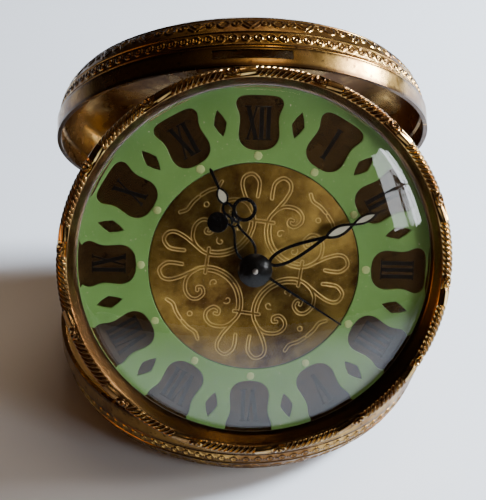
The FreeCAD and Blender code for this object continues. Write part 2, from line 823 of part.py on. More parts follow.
def new_train():
    arbor = cell("arbor_radius").value
    # The centre pinion has a gap towards the barrel, whose tooth points at it.
    centre = joined(
        rod(arbor, back_face - 0.2, cell("minute_hand_level").value + 0.5),
        toothed(PINION_TEETH, BARREL_MODULE, *CENTRE_PINION_SPAN, phase=math.pi + half_pinion_step),
        toothed(CENTRE_TEETH, CENTRE_MODULE, *CENTRE_WHEEL_SPAN, phase=third_bearing),
    )
    new_feature("centre_wheel", centre, DIAL_PLACE)
    rim = toothed(BARREL_TEETH, BARREL_MODULE, *BARREL_RIM_SPAN, bore=KEY_STEM + HOLE_GAP)
    drum = tube(8.2, KEY_STEM + HOLE_GAP, back_high + 0.3, BARREL_RIM_SPAN[0])
    new_feature("mainspring_barrel", joined(rim, drum), on_dial(*TIME_BARREL_AT))
    third = joined(
        pivoted(),
        toothed(PINION_TEETH, CENTRE_MODULE, *THIRD_PINION_SPAN,
                phase=third_bearing + math.pi + half_pinion_step),
        toothed(60, 0.2, *THIRD_WHEEL_SPAN),
    )
    new_feature("third_wheel", third, on_dial(*THIRD_AT))
    fourth = joined(pivoted(), rod(0.8, -4.5, -3.7), toothed(60, 0.16, -5.4, -5.0))
    new_feature("fourth_wheel", fourth, on_dial(*FOURTH_AT))
    escape = joined(pivoted(), rod(0.6, -5.6, -4.8), toothed(15, 0.46, -4.4, -4.1))
    new_feature("escape_wheel", escape, on_dial(*ESCAPE_AT))
    lever = joined(pivoted(), block((-2.0, 2.0), (-0.35, 0.35), (-4.5, -4.0)))
    new_feature("pallet_lever", lever, on_dial(*PALLET_AT, turn=20))
    alarm_drum = tube(6.5, KEY_STEM + HOLE_GAP, back_high + 0.3, -2.4)
    new_feature("alarm_barrel", alarm_drum, on_dial(*ALARM_BARREL_AT))


def new_balance():
    rim = tube(5.4, 4.6, -3.4, -2.8)
    spokes = block((-4.7, 4.7), (-0.35, 0.35), (-3.3, -2.9))
    new_feature("balance_wheel", joined(pivoted(), rim, spokes), on_dial(*BALANCE_AT, turn=35))
    inner, growth, turns, per_turn, half = 1.0, 0.55, 5, 20, 0.05
    edge_in, edge_out = [], []
    for i in range(turns * per_turn + 1):
        angle = 2 * math.pi * i / per_turn
        radius = inner + growth * i / per_turn
        for edge, reach in ((edge_in, radius - half), (edge_out, radius + half)):
            edge.append(FreeCAD.Vector(reach * math.cos(angle), reach * math.sin(angle), -5.2))
    loop = edge_in + edge_out[::-1]
    ribbon = Part.Face(Part.makePolygon(loop + loop[:1])).extrude(FreeCAD.Vector(0, 0, 0.4))
    new_feature("hairspring", ribbon, on_dial(*BALANCE_AT))


def new_hammer():
    arm = block((-0.4, 0.4), (0, 8.0), (-4.4, -3.9))
    head = Part.makeCylinder(1.3, 1.6, FreeCAD.Vector(0, 8.0, -4.95))
    new_feature("alarm_hammer", joined(pivoted(), arm, head), on_dial(*HAMMER_AT, turn=20))


new_train()
new_balance()
new_hammer()


# ---- hands -----------------------------------------------------------------------------------------------

def new_hand(label, length, angle, blade_low, pipe_low, bore, wheel=None):
    """A hand on its pipe, pointing to its rest angle: a slender blade that widens to a lozenge."""
    thick = cell("hand_thickness").value
    outer = bore + cell("pipe_wall").value
    outline = [(-0.5, 0), (-0.45, length * 0.45), (-1.2, length * 0.62), (-0.35, length * 0.8), (0, length),
               (0.35, length * 0.8), (1.2, length * 0.62), (0.45, length * 0.45), (0.5, 0)]
    corners = [FreeCAD.Vector(x, y, blade_low) for x, y in outline]
    blade = Part.Face(Part.makePolygon(corners + corners[:1])).extrude(FreeCAD.Vector(0, 0, thick))
    hub = rod(outer + 0.9, blade_low, blade_low + thick)
    pieces = [blade, hub, rod(outer, pipe_low, blade_low + thick)]
    if wheel:
        pieces.append(wheel)
    solid = joined(*pieces).cut(rod(bore, pipe_low - 1, blade_low + 2))
    new_feature(label, solid, on_dial(turn=-angle))


def new_hands():
    gap, wall = cell("running_gap").value, cell("pipe_wall").value
    arbor = cell("arbor_radius").value
    hour_bore = arbor + gap
    alarm_bore = hour_bore + wall + gap
    minute_level = cell("minute_hand_level").value
    new_hand("alarm_hand", cell("alarm_length").value, cell("alarm_angle").value,
             cell("alarm_hand_level").value, 0.45, alarm_bore, wheel=toothed(36, 0.22, 0.45, 0.85))
    new_hand("hour_hand", cell("hour_length").value, cell("hour_angle").value,
             cell("hour_hand_level").value, -0.2, hour_bore, wheel=toothed(48, 0.22, -0.2, 0.25))
    new_hand("minute_hand", cell("minute_length").value, cell("minute_angle").value,
             minute_level, minute_level, arbor)
    low = minute_level + cell("hand_thickness").value
    high = low + cell("boss_height").value
    cap = joined(rod(cell("boss_radius").value, low, high), rod(0.45, high, high + cell("arbor_tip").value))
    new_feature("hand_boss", cap.cut(rod(arbor, minute_level, minute_level + 0.5)), DIAL_PLACE)


new_hands()


# ---- keys, knobs and button on the back ------------------------------------------------------------------

def new_key(label, at, arbor_top):
    """A two-winged winding key on its square-shouldered stem, which runs into its barrel."""
    outer = back_face - 0.25
    stem = rod(KEY_STEM, outer - 0.9, arbor_top)
    hub = rod(1.5, outer - 0.9, outer)
    wings = block((-5.0, 5.0), (-0.4, 0.4), (outer - 1.7, outer - 0.9))
    tips = [Part.makeCylinder(1.6, 0.8, FreeCAD.Vector(x, 0.4, outer - 1.7)) for x in (-3.6, 3.6)]
    new_feature(label, joined(stem, hub, wings, *tips), on_dial(*at, turn=25))


def new_knob(label, at, radius, stem_top, stem_radius, bore=0.0):
    """A knurled knob on its stem."""
    outer = back_face - 0.25
    grip = toothed(24, 2 * radius / 24, outer - 1.4, outer)
    solid = joined(grip, rod(stem_radius, outer - 0.5, stem_top))
    if bore:
        solid = solid.cut(rod(bore, back_face - 0.2, stem_top + 1))
    new_feature(label, solid, on_dial(*at))


new_key("time_winding_key", TIME_BARREL_AT, back_high + 0.6)
new_key("alarm_winding_key", ALARM_BARREL_AT, back_high + 0.6)
new_knob("time_set_knob", (0, 0), 3.0, back_low - 0.2, KNOB_STEM, bore=cell("arbor_radius").value)
new_knob("alarm_set_knob", ALARM_KNOB_AT, 2.4, back_high + 0.4, KNOB_STEM)
button = joined(rod(STOP_STEM, back_face - 1.3, back_high + 0.5), rod(1.4, back_face - 2.0, back_face - 1.2))
new_feature("alarm_stop_button", button, on_dial(*STOP_AT))


# ---- check and write -------------------------------------------------------------------------------------

doc.recompute()
for item in doc.Objects:
    if "Invalid" in item.State or "Error" in item.State:
        raise ValueError(f"{item.Label} failed: {item.State}")
os.makedirs("parts", exist_ok=True)
for node in nodes:
    if node.Shape.isNull() or not node.Shape.isValid():
        raise ValueError(f"{node.Label} has no valid shape")
    node.Shape.exportStep(f"parts/{node.Label}.step")
print(len(nodes), "sub-parts written")
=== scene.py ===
import bpy
import json
import math
import numpy as np
from mathutils import Matrix, Vector


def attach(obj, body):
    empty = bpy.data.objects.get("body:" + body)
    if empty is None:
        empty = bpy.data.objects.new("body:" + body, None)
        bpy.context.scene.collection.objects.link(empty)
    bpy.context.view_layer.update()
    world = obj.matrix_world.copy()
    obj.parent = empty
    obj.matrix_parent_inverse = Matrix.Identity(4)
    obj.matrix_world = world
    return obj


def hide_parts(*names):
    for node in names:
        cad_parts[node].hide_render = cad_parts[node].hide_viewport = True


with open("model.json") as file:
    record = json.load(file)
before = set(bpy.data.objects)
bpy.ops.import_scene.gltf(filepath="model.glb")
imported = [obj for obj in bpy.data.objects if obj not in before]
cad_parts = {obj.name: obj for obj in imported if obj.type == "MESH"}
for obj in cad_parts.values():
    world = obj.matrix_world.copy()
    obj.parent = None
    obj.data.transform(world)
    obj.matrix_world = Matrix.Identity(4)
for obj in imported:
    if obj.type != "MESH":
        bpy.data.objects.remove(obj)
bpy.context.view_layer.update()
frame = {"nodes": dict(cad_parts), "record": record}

# ---- the three panels' own frames --------------------------------------------------------------------------
# Sizes are in millimetres, and MM turns them into metres. The drum's frame has X to the right, Y towards
# twelve o'clock and Z out of the dial.

MM = 0.001
JOINTS = {joint["name"]: joint for joint in frame["record"]["behaviour"]["joints"]}
DIAL_CENTRE = Vector(JOINTS["minute_turn"]["pos_m"])
OUT_OF_DIAL = -Vector(JOINTS["minute_turn"]["axis"]).normalized()
ACROSS = Vector((1, 0, 0))
UP_DIAL = OUT_OF_DIAL.cross(ACROSS)
MOVEMENT_DROP = 1.3
COVER_ANGLE = math.radians(54.5)
SHELL_RADIUS = 34.5
RIM_HEIGHT = 12.4
REAR_AXIS_LIFT = 0.2


def frame_matrix(origin, x, y, z):
    return Matrix.Translation(origin) @ Matrix((x, y, z)).transposed().to_4x4()


DIAL = frame_matrix(DIAL_CENTRE, ACROSS, UP_DIAL, OUT_OF_DIAL)
DIAL_TURN = math.radians(-1.9)
FACE = DIAL @ Matrix.Rotation(DIAL_TURN, 4, "Z")
DRUM = frame_matrix(DIAL_CENTRE + MOVEMENT_DROP * MM * UP_DIAL, ACROSS, UP_DIAL, OUT_OF_DIAL)
BASE = Matrix.Translation((0, 0, RIM_HEIGHT * MM)) @ Matrix.Rotation(math.pi, 4, "X")
REAR_AXIS = Vector(JOINTS["cover_hinge"]["pos_m"])
COVER = (Matrix.Translation(REAR_AXIS) @ Matrix.Rotation(-COVER_ANGLE, 4, "X")
         @ Matrix.Translation((0, -REAR_AXIS.y, REAR_AXIS_LIFT * MM)))

# ---- camera, lights and floor ------------------------------------------------------------------------------

ROPE_LEVEL = 6.5
RING_CENTRE = DRUM @ Vector((0, 0, ROPE_LEVEL * MM))
CAMERA_AZIMUTH = math.radians(-4.2)
CAMERA_ELEVATION = math.radians(37.3)
CAMERA_DISTANCE = 0.2417
CAMERA_ROLL = math.radians(1.94)
CAMERA_LENS = 105.4
SENSOR_WIDTH = 36.0
CLIP_NEAR, CLIP_FAR = 0.01, 10
AIM_RIGHT, AIM_UP = -2.16 * MM, 2.36 * MM


def make_camera():
    back = Vector((math.sin(CAMERA_AZIMUTH) * math.cos(CAMERA_ELEVATION),
                   -math.cos(CAMERA_AZIMUTH) * math.cos(CAMERA_ELEVATION), math.sin(CAMERA_ELEVATION)))
    facing = (-back).to_track_quat("-Z", "Y")
    aim = RING_CENTRE + facing @ Vector((AIM_RIGHT, AIM_UP, 0))
    data = bpy.data.cameras.new("camera")
    data.lens, data.sensor_width = CAMERA_LENS, SENSOR_WIDTH
    data.clip_start, data.clip_end = CLIP_NEAR, CLIP_FAR
    camera = bpy.data.objects.new("camera", data)
    bpy.context.collection.objects.link(camera)
    place = Matrix.Translation(aim + back * CAMERA_DISTANCE)
    roll = Matrix.Rotation(CAMERA_ROLL, 4, "Z")
    camera.matrix_world = place @ facing.to_matrix().to_4x4() @ roll
    bpy.context.scene.camera = camera


def area_light(name, place, aim, size, power, colour):
    data = bpy.data.lights.new(name, "AREA")
    data.shape, data.size, data.size_y = "RECTANGLE", size[0], size[1]
    data.energy, data.color = power, colour
    light = bpy.data.objects.new(name, data)
    bpy.context.collection.objects.link(light)
    light.location = place
    light.rotation_mode = "QUATERNION"
    light.rotation_quaternion = (Vector(aim) - Vector(place)).to_track_quat("-Z", "Y")
    return light


# Each light's place in metres, size, power in watts and colour. All of them aim at the middle of the bezel.
LIGHTS = {
    "key": ((0.56, 0.12, 0.29), (0.17, 0.17), 22.5, (0.83, 0.92, 1.0)),
    "ceiling": ((0.10, 0.45, 0.60), (0.40, 0.15), 0.4, (1.0, 0.82, 0.62)),
    "overhead": ((0.14, -0.22, 0.78), (0.30, 0.20), 0.65, (1.0, 0.76, 0.52)),
    "warm": ((-0.45, -0.18, 0.10), (0.25, 0.12), 0.25, (1.0, 0.45, 0.18)),
    "side": ((0.62, -0.05, 0.10), (0.10, 0.16), 4.0, (1.0, 0.98, 0.94)),
}

# The window of the room, placed where the right edge of the crystal mirrors it to the camera.
WINDOW_AT = Vector((0.318, -0.364, 0.256))
PANE_WIDTH, PANE_HEIGHT, PANE_GAP = 0.030, 0.080, 0.005
PANE_POWER = 0.11
PANE_COLOUR = (0.92, 0.97, 1.0)
PANE_SPREAD = math.radians(150)

# The room is dark in front and on the left, and bright towards the way that it leans.
ROOM_LEAN = (0.40, 0.22, 0.28)
ROOM_STRENGTH = 0.26
ROOM_STOPS = (
    (0.0, (0.05, 0.028, 0.015, 1)),
    (0.52, (0.07, 0.048, 0.035, 1)),
    (0.70, (0.40, 0.27, 0.17, 1)),
    (1.0, (0.86, 0.58, 0.36, 1)),
)


def make_lights():
    for name, (place, size, power, colour) in LIGHTS.items():
        area_light(name, place, RING_CENTRE, size, power, colour)


def make_window():
    """Four panes of one window, side by side and one above the other."""
    facing = (RING_CENTRE - WINDOW_AT).normalized()
    side = facing.cross(Vector((0, 0, 1))).normalized()
    rise = side.cross(facing)
    for column in (-1, 1):
        for row in (-1, 1):
            place = (WINDOW_AT + side * column * (PANE_WIDTH + PANE_GAP) / 2
                     + rise * row * (PANE_HEIGHT + PANE_GAP) / 2)
            light = area_light(f"pane_{column}_{row}", place, place + facing, (PANE_WIDTH, PANE_HEIGHT),
                               PANE_POWER, PANE_COLOUR)
            light.data.spread = PANE_SPREAD


def make_room():
    """A soft surround whose brightness follows how far a direction points along the room's lean."""
    world = bpy.data.worlds.new("studio")
    bpy.context.scene.world = world
    world.use_nodes = True
    nodes, links = world.node_tree.nodes, world.node_tree.links
    background = nodes["Background"]
    direction = nodes.new("ShaderNodeTexCoord")
    lean = nodes.new("ShaderNodeVectorMath")
    lean.operation = "DOT_PRODUCT"
    lean.inputs[1].default_value = ROOM_LEAN
    half = nodes.new("ShaderNodeMath")
    half.operation = "ADD"
    half.inputs[1].default_value = 0.5
    links.new(direction.outputs["Generated"], lean.inputs[0])
    links.new(lean.outputs["Value"], half.inputs[0])
    ramp = nodes.new("ShaderNodeValToRGB")
    first, *middle, last = ROOM_STOPS
    for element, (position, colour) in zip(ramp.color_ramp.elements, (first, last)):
        element.position = position
        element.color = colour
    for position, colour in middle:
        ramp.color_ramp.elements.new(position).color = colour
    links.new(half.outputs["Value"], ramp.inputs["Fac"])
    links.new(ramp.outputs["Color"], background.inputs["Color"])
    background.inputs["Strength"].default_value = ROOM_STRENGTH


# ---- material helpers --------------------------------------------------------------------------------------

class Nodes:
    """A short way to write a node material."""

    def __init__(self, name):
        self.material = bpy.data.materials.new(name)
        self.material.use_nodes = True
        self.tree = self.material.node_tree
        self.shader = self.tree.nodes["Principled BSDF"]

    def add(self, kind, inputs=(), **settings):
        node = self.tree.nodes.new("ShaderNode" + kind)
        for key, value in settings.items():
            setattr(node, key, value)
        for key, value in dict(inputs).items():
            self.feed(node, key, value)
        return node

    def feed(self, node, key, value):
        socket = node.inputs[key]
        if isinstance(value, bpy.types.Node):
            value = value.outputs[0]
        if isinstance(value, bpy.types.NodeSocket):
            self.tree.links.new(value, socket)
        else:
            socket.default_value = value

    def ramp(self, source, stops):
        node = self.add("ValToRGB", {"Fac": source})
        elements = node.color_ramp.elements
        while len(elements) < len(stops):
            elements.new(0.5)
        for element, (position, colour) in zip(elements, stops):
            element.position = position
            element.color = (*colour, 1) if len(colour) == 3 else colour
        return node

    def noise(self, scale, detail=4.0, roughness=0.55, vector=None):
        inputs = {"Scale": scale, "Detail": detail, "Roughness": roughness}
        inputs["Vector"] = vector or self.where()
        return self.add("TexNoise", inputs)

    def where(self):
        return self.add("TexCoord").outputs["Object"]

    def mix(self, factor, first, second, mode="MIX"):
        node = self.add("Mix", data_type="RGBA", blend_type=mode)
        for index, value in ((0, factor), (6, first), (7, second)):
            socket = node.inputs[index]
            if isinstance(value, bpy.types.Node):
                value = value.outputs[0]
            if isinstance(value, bpy.types.NodeSocket):
                self.tree.links.new(value, socket)
            else:
                socket.default_value = (*value, 1) if isinstance(value, tuple) else value
        return node.outputs[2]

    def set(self, **inputs):
        for key, value in inputs.items():
            name = key.replace("_", " ")
            if isinstance(value, tuple):
                value = (*value, 1)
            self.feed(self.shader, name, value)

    def bump(self, height, strength, distance):
        self.set(Normal=self.add("Bump", {"Height": height, "Strength": strength, "Distance": distance}))


def level(value):
    return (value, value, value)


def worn_brass(name, bright, dark, tarnish, roughness=(0.16, 0.42), recess=0.0):
    """Polished brass with brown tarnish in patches, fine pitting and, where recess is set, dark hollows."""
    m = Nodes(name)
    patches = m.noise(95, 6, 0.62)
    spots = m.noise(900, 3, 0.6)
    cover = m.ramp(patches, [(0.36, level(0)), (0.58, level(1))])
    base = m.mix(cover, bright, dark)
    specks = m.ramp(spots, [(0.60, level(0)), (0.72, level(1))])
    base = m.mix(specks, base, tarnish)
    if recess:
        hollow = m.ramp(m.add("NewGeometry").outputs["Pointiness"], [(0.47, level(1)), (0.505, level(0))])
        base = m.mix(m.mix(recess, (0, 0, 0), hollow), base, tarnish)
    rough = m.ramp(patches, [(0.35, level(roughness[0])), (0.70, level(roughness[1]))])
    m.set(Base_Color=base, Metallic=1.0, Roughness=rough)
    m.bump(m.noise(1500, 2, 0.5), 0.05, 0.0002)
    return m.material


def lacquer(name, colour, shade, roughness=0.24):
    """Satin lacquer with a little mottling and dust."""
    m = Nodes(name)
    clouds = m.ramp(m.noise(160, 5, 0.6), [(0.35, level(0)), (0.70, level(1))])
    base = m.mix(clouds, colour, shade)
    dust = m.ramp(m.noise(2600, 2, 0.5), [(0.70, level(0)), (0.76, level(1))])
    base = m.mix(dust, base, (0.55, 0.50, 0.35))
    m.set(Base_Color=base, Roughness=roughness, Specular_IOR_Level=0.35)
    m.bump(m.noise(800, 3, 0.5), 0.04, 0.0002)
    return m.material


def sunburst(name, bright, dark):
    """Gilt brushed in rays from the centre of the dial, with brown staining, and a painted highlight that
    makes the engraved lines lighter.
    """
    m = Nodes(name)
    attribute = m.add("Attribute", attribute_name="dial_angle")
    rays = m.add("TexNoise", {"Scale": 60.0, "Detail": 3.0, "W": attribute.outputs["Fac"]},
                 noise_dimensions="1D")
    stain = m.ramp(m.noise(110, 5, 0.65), [(0.36, level(0)), (0.66, level(1))])
    base = m.mix(stain, bright, dark)
    # The engraved lines are mixed towards a lighter gold: a painted highlight for the light that their
    # grooves catch.
    groove_mask = m.add("Attribute", attribute_name="engraved")
    groove_highlight = m.add("Math", {0: groove_mask.outputs["Fac"], 1: 0.5}, operation="MULTIPLY")
    base = m.mix(groove_highlight, base, (0.80, 0.56, 0.20))
    m.set(Base_Color=base, Metallic=1.0, Roughness=m.ramp(rays, [(0.3, level(0.26)), (0.7, level(0.37))]))
    m.set(Anisotropic=0.9, Tangent=m.add("Attribute", attribute_name="ray_way").outputs["Vector"])
    m.bump(rays, 0.35, 0.00004)
    return m.material


def plain_metal(name, colour, shade, roughness):
    m = Nodes(name)
    clouds = m.noise(260, 4, 0.6)
    m.set(Base_Color=m.mix(clouds, colour, shade), Metallic=1.0, Roughness=roughness)
    m.bump(m.noise(3000, 2, 0.5), 0.04, 0.0001)
    return m.material


def glass():
    m = Nodes("crystal")
    m.set(Base_Color=(1.0, 1.0, 1.0), Roughness=0.015, IOR=1.47)
    m.shader.inputs["Transmission Weight"].default_value = 1.0
    scratches = m.noise(2200, 2, 0.4)
    m.bump(scratches, 0.01, 0.0001)
    return m.material


def gloss_black(name, colour, roughness):
    m = Nodes(name)
    m.set(Base_Color=m.mix(m.noise(700, 3, 0.6), colour, tuple(2.2 * c for c in colour)), Roughness=roughness,
          Specular_IOR_Level=0.25)
    m.bump(m.noise(1800, 2, 0.5), 0.05, 0.0001)
    return m.material


BRIGHT, BROWN, STAIN = (0.54, 0.36, 0.10), (0.19, 0.095, 0.028), (0.04, 0.018, 0.007)
MATERIALS = {
    "case_brass": worn_brass("case_brass", BRIGHT, BROWN, STAIN),
    "relief_brass": worn_brass("relief_brass", (0.44, 0.27, 0.075), (0.15, 0.07, 0.02), STAIN, recess=0.9),
    "bezel_brass": worn_brass("bezel_brass", (0.64, 0.43, 0.16), BROWN, STAIN, (0.12, 0.30), recess=0.9),
    # The funnel's brass is a darker copy of the bezel's brass: painted shade for the dark room that it
    # mirrors.
    "funnel_brass_painted_shade": worn_brass("funnel_brass_painted_shade", (0.15, 0.08, 0.022), (0.07, 0.032, 0.010), STAIN,
                               (0.16, 0.28)),
    "hinge_steel": plain_metal("hinge_steel", (0.55, 0.52, 0.47), (0.30, 0.26, 0.22), 0.3),
    "crystal": glass(),
    "dial_gilt": worn_brass("dial_gilt", (0.46, 0.27, 0.11), (0.18, 0.10, 0.04), STAIN, (0.16, 0.30)),
    "chapter_green": lacquer("chapter_green", (0.150, 0.285, 0.082), (0.125, 0.245, 0.066)),
    "disc_gold": sunburst("disc_gold", (0.38, 0.24, 0.055), (0.085, 0.040, 0.012)),
    "numeral_black": gloss_black("numeral_black", (0.0015, 0.0013, 0.0012), 0.35),
    "lume": lacquer("lume", (0.38, 0.46, 0.18), (0.31, 0.38, 0.14), 0.7),
    "lume_pale": lacquer("lume_pale", (0.38, 0.36, 0.28), (0.30, 0.28, 0.21), 0.7),
    "hand_black": gloss_black("hand_black", (0.0015, 0.0015, 0.0015), 0.20),
    "movement_brass": plain_metal("movement_brass", (0.62, 0.50, 0.25), (0.45, 0.34, 0.16), 0.3),
    "movement_steel": plain_metal("movement_steel", (0.6, 0.6, 0.62), (0.4, 0.4, 0.42), 0.25),
    "seat_black": gloss_black("seat_black", (0.03, 0.03, 0.028), 0.7),
}

# ---- mesh helpers ------------------------------------------------------------------------------------------

def new_piece(name, vertices, faces, where, body, material, replaces=(), smooth=True):
    """A mesh in millimetres in one of the panels' frames, placed in the row frame."""
    mesh = bpy.data.meshes.new(name)
    mesh.from_pydata([tuple(v) for v in vertices], [], faces)
    mesh.transform(where @ Matrix.Scale(MM, 4))
    mesh.validate()
    mesh.update()
    if smooth:
        mesh.shade_smooth()
        mesh.set_sharp_from_angle(angle=math.radians(35))
    piece = bpy.data.objects.new(name, mesh)
    bpy.context.collection.objects.link(piece)
    finish_piece(piece, body, material, replaces)
    return piece


def finish_piece(piece, body, material, replaces):
    piece.data.materials.clear()
    piece.data.materials.append(MATERIALS[material])
    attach(piece, body)
    if replaces:
        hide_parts(*replaces)


def grid_faces(rows, columns, wrap_rows=True, wrap_columns=False):
    """Quads of a grid of rows by columns of vertices, numbered row by row."""
    last_row = rows if wrap_rows else rows - 1
    last_column = columns if wrap_columns else columns - 1
    faces = []
    for i in range(last_row):
        a, b = i * columns, ((i + 1) % rows) * columns
        for j in range(last_column):
            k = (j + 1) % columns
            faces.append((a + j, b + j, b + k, a + k))
    return faces


# Turned profiles stop this far short of the axis.
POLE_RADIUS = 0.02


def full_turn(steps):
    """Angles all the way round, clockwise from twelve o'clock."""
    return np.linspace(0, 2 * math.pi, steps, endpoint=False)


def turned_grid(profile, angles):
    """The grid of vertices that a profile of (radius, height) sweeps about Z."""
    radius, height = np.array(profile, float).T
    x = np.outer(np.sin(angles), radius)
    y = np.outer(np.cos(angles), radius)
    z = np.tile(height, (len(angles), 1))
    return np.stack([x, y, z], axis=2)


def outward(angles, rise):
    """Unit normals of a turned surface that faces rise radians up from the radial direction."""
    return np.stack([np.outer(np.sin(angles), np.cos(rise)), np.outer(np.cos(angles), np.cos(rise)),
                     np.tile(np.sin(rise), (len(angles), 1))], axis=2)


def lathe(name, profile, steps, where, body, material, replaces=()):
    """A piece turned from a closed profile of (radius, height)."""
    grid = turned_grid(profile, full_turn(steps))
    faces = grid_faces(steps, len(profile), wrap_columns=True)
    return new_piece(name, grid.reshape(-1, 3), faces, where, body, material, replaces)


def arc_points(centre, radius, start, end, count):
    """Points on an arc, with angles in degrees from the radial direction."""
    angles = np.radians(np.linspace(start, end, count))
    return [(centre[0] + radius * math.cos(a), centre[1] + radius * math.sin(a)) for a in angles]


def straight(start, end, count):
    """Points from start up to, but not including, end."""
    return [tuple(np.array(start) + (np.array(end) - np.array(start)) * i / count) for i in range(count)]


def stroke_distance(u, v, strokes):
    """The distance from each point to the nearest of the strokes, which are lists of (u, v)."""
    nearest = np.full(u.shape, 1e9)
    for stroke in strokes:
        points = np.array(stroke)
        for a, b in zip(points[:-1], points[1:]):
            along = b - a
            length = max(float(along @ along), 1e-12)
            t = np.clip(((u - a[0]) * along[0] + (v - a[1]) * along[1]) / length, 0, 1)
            nearest = np.minimum(nearest, np.hypot(u - a[0] - t * along[0], v - a[1] - t * along[1]))
    return nearest


def ridge(distance, half_width):
    """A rounded ridge, 1 on the stroke and 0 at its edge."""
    return np.clip(1 - (distance / half_width) ** 2, 0, 1)


def spiral(centre, radius, turns, start, end_radius=0.0, count=26, hand=1):
    """A scroll that winds from its outer radius in to its eye; angles in turns."""
    points = []
    for i in range(count):
        t = i / (count - 1)
        r = radius + (end_radius - radius) * t
        a = 2 * math.pi * (start + hand * turns * t)
        points.append((centre[0] + r * math.cos(a), centre[1] + r * math.sin(a)))
    return points


def smooth_line(points, per_span=6):
    """A Catmull-Rom line through the points."""
    p = [np.array(q, float) for q in points]
    p = [2 * p[0] - p[1]] + p + [2 * p[-1] - p[-2]]
    line = []
    for a, b, c, d in zip(p, p[1:], p[2:], p[3:]):
        for i in range(per_span):
            t = i / per_span
            line.append(0.5 * (2 * b + (c - a) * t + (2 * a - 5 * b + 4 * c - d) * t ** 2
                               + (3 * b - a - 3 * c + d) * t ** 3))
    return [tuple(q) for q in line] + [tuple(p[-2])]


def mirrored(points):
    return [(-x, y) for x, y in points]


# ---- shells ------------------------------------------------------------------------------------------------

WALL = 0.8
EDGE_ROUND = 0.12
BAND_HEIGHT = 3.4
BAND_STEP = 0.4
SHOULDER = 9.0
SHOULDER_RADIUS_AT = SHELL_RADIUS - BAND_STEP - SHOULDER
# The relief's bands are placed by the arc length up the shoulder from its foot, and it ends at an angle from
# the radial direction, in radians, just past the shoulder's dense rows.
RELIEF_HEIGHT = 0.18
RELIEF_SINK = 0.1
RELIEF_END = 1.32
CHAIN_COUNT = 100
CHAIN_PLACE, CHAIN_REACH = 1.9, 1.1
SCROLL_COUNT = 22
SCROLL_PLACE, SCROLL_REACH = 5.3, 1.9
BORDER_PLACES, BORDER_HALF_WIDTH = (0.55, 3.2, 7.6), 0.2
CATCH_SLOT_WIDTH, CATCH_SLOT_LOW, CATCH_SLOT_HIGH = 13.6, 1.3, 2.7


def shoulder_arc(first_degrees, last_degrees, count):
    return arc_points((SHOULDER_RADIUS_AT, BAND_HEIGHT), SHOULDER, first_degrees, last_degrees, count)


def chain_relief(angle, along):
    """A chain of small rings; along is the arc length from the middle of the band."""
    pitch = 2 * math.pi * (SHELL_RADIUS - 0.6) / CHAIN_COUNT
    u = (angle / (2 * math.pi) * CHAIN_COUNT % 1 - 0.5) * pitch
    rings = ridge(np.abs(np.hypot(u, along * 1.05) - 0.62), 0.26)
    eyes = 0.8 * ridge(np.hypot(u, along), 0.22)
    links = 0.8 * ridge(np.hypot(np.abs(u) - pitch / 2, along), 0.32)
    return np.maximum(np.maximum(rings, eyes), links)


def scroll_strokes():
    """One motif of the scroll band: two facing C scrolls joined by a low S, with leaf sprays between."""
    half = [
        spiral((2.1, 0.25), 1.05, 1.35, 0.28, 0.22, hand=-1),
        [(2.3, 1.28), (3.1, 1.15), (3.8, 0.5), (4.3, -0.2), (4.75, -0.55)],
        [(0.0, -0.9), (0.5, -0.75), (0.9, -0.2), (1.05, 0.4)],
        [(0.35, 1.2), (0.75, 0.95), (0.8, 0.55)],
        [(3.3, -0.2), (3.7, -0.7), (4.3, -1.15)],
        [(4.1, 0.9), (4.5, 1.1), (4.75, 1.0)],
    ]
    return half + [mirrored(stroke) for stroke in half]


def scroll_relief(angle, along):
    pitch = 2 * math.pi * (SHELL_RADIUS - 1.9) / SCROLL_COUNT
    u = (angle / (2 * math.pi) * SCROLL_COUNT % 1 - 0.5) * pitch
    return ridge(stroke_distance(u, along, scroll_strokes()), 0.30)


def border_relief(along):
    return np.maximum.reduce([ridge(np.abs(along - place), BORDER_HALF_WIDTH) for place in BORDER_PLACES])


def shoulder_relief(angle, along):
    """The height of the relief, from 0 to 1, all over the shoulder."""
    chain = np.where(np.abs(along - CHAIN_PLACE) < CHAIN_REACH, chain_relief(angle, along - CHAIN_PLACE), 0)
    near = np.abs(along - SCROLL_PLACE) < SCROLL_REACH
    scrolls = np.zeros(along.shape)
    scrolls[near] = scroll_relief(angle[near], along[near] - SCROLL_PLACE)
    return np.maximum.reduce([chain, scrolls, border_relief(along)])


def shell_profile():
    """Outside from rim to crown, then inside back to the rim, with dense rows where the relief is."""
    outside = straight((SHELL_RADIUS, 0.0), (SHELL_RADIUS, BAND_HEIGHT - EDGE_ROUND), 8)
    outside += arc_points((SHELL_RADIUS - EDGE_ROUND, BAND_HEIGHT - EDGE_ROUND), EDGE_ROUND, 0, 90, 3)
    shoulder = shoulder_arc(0.6, 74, 96) + shoulder_arc(77, 90, 5)
    crown_in = SHOULDER_RADIUS_AT
    crown = [(crown_in * (1 - i / 8), RIM_HEIGHT) for i in range(1, 8)] + [(POLE_RADIUS, RIM_HEIGHT)]
    inner_top = RIM_HEIGHT - WALL
    inside = [(POLE_RADIUS, inner_top), (crown_in * 0.5, inner_top)]
    inside += arc_points((crown_in, BAND_HEIGHT), SHOULDER - WALL, 90, 0, 14)
    inside += [(SHELL_RADIUS - WALL, BAND_HEIGHT - BAND_STEP), (SHELL_RADIUS - WALL, EDGE_ROUND)]
    inside += [(SHELL_RADIUS - WALL + EDGE_ROUND, 0.0)]
    return outside, shoulder, crown, inside


